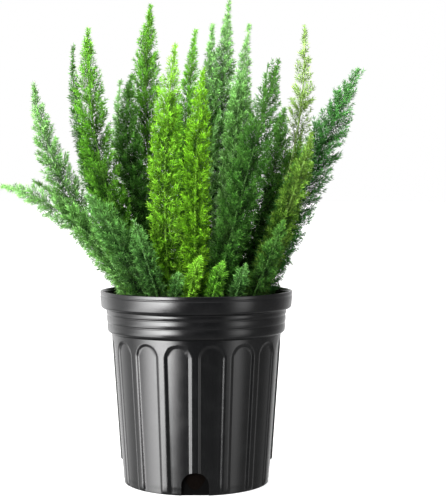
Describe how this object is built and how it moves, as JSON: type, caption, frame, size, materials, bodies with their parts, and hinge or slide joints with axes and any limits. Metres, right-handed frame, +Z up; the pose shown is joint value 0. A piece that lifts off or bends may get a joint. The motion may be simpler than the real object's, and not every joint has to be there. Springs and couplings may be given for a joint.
{
  "type": "foxtail fern",
  "caption": "Foxtail fern with upright bottlebrush stems of fine green needles, growing from soil in a round black fluted nursery pot.",
  "frame": {"origin": "middle of the pot's flat underside, on the surface that it stands on", "axes": "+Z up, -Y towards the side the picture shows, +X to its right"},
  "size_m": [0.4073, 0.3077, 0.566],
  "materials": {
    "black_plastic": "semi-gloss moulded, lightly grained",
    "potting_soil": "crumbly and matte",
    "fern_green": "matte needles",
    "bright_green": "matte young needles",
    "lime_green": "matte young needles",
    "deep_green": "matte needles",
    "olive_green": "matte needles",
    "blue_green": "matte needles"
  },
  "bodies": {
    "root": {"pot": "black_plastic", "soil": "potting_soil", "plume_front_bright": "bright_green", "plume_front_lime": "lime_green", "plume_front_dark": "deep_green", "plume_tallest": "fern_green", "plume_beside_tallest": "fern_green", "plume_tall_centre": "fern_green", "plume_behind_bright": "fern_green", "plume_tall_left": "fern_green", "plume_beside_tall": "deep_green", "plume_left_tall": "fern_green", "plume_left_thin": "deep_green", "plume_left": "fern_green", "plume_left_low": "fern_green", "plume_left_dark": "deep_green", "plume_front_left": "fern_green", "plume_front_left_low": "fern_green", "plume_sparse": "olive_green", "plume_right": "blue_green", "plume_right_olive": "olive_green", "plume_right_mid": "deep_green", "plume_right_low": "blue_green", "plume_right_front_low": "fern_green", "plume_back_pale": "fern_green", "plume_back_left": "fern_green", "plume_back_mid": "fern_green", "plume_back_right": "deep_green", "plume_back_right_out": "fern_green", "plume_back_low": "fern_green", "plume_back_low_left": "blue_green", "plume_back_low_right": "fern_green", "plume_bare_stalk": "deep_green", "sprout_lime": "lime_green", "sprout_green": "bright_green", "sprout_left": "bright_green", "sprout_right": "bright_green", "sprout_back": "bright_green"}
  },
  "joints": []
}
